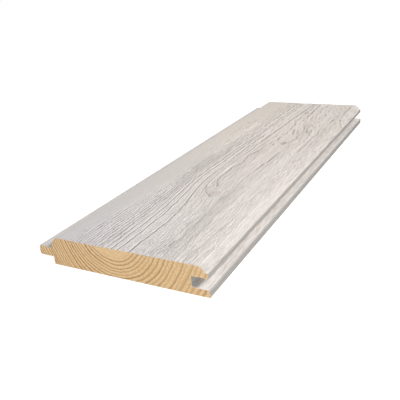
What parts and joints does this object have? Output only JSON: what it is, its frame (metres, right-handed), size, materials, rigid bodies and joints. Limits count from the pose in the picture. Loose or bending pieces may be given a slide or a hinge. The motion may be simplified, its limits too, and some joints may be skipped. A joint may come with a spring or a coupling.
{
  "type": "tongue and groove board",
  "caption": "Solid softwood cladding board with a tongue on one edge, a groove on the other, bevels that make a V joint and a brushed, painted face.",
  "frame": {"origin": "on the back face, in the middle of the length and of the overall width", "axes": "+Y along the grain, away from the end that the picture shows; +X out of the groove, so the tongue points to -X; +Z out of the painted face"},
  "size_m": [0.145, 0.45, 0.023],
  "materials": {
    "painted_softwood": "matt off-white paint on a wire-brushed face, edges, tongue and groove; sawn ends and planed back are bare softwood"
  },
  "bodies": {
    "root": {"board": "painted_softwood"}
  },
  "joints": []
}
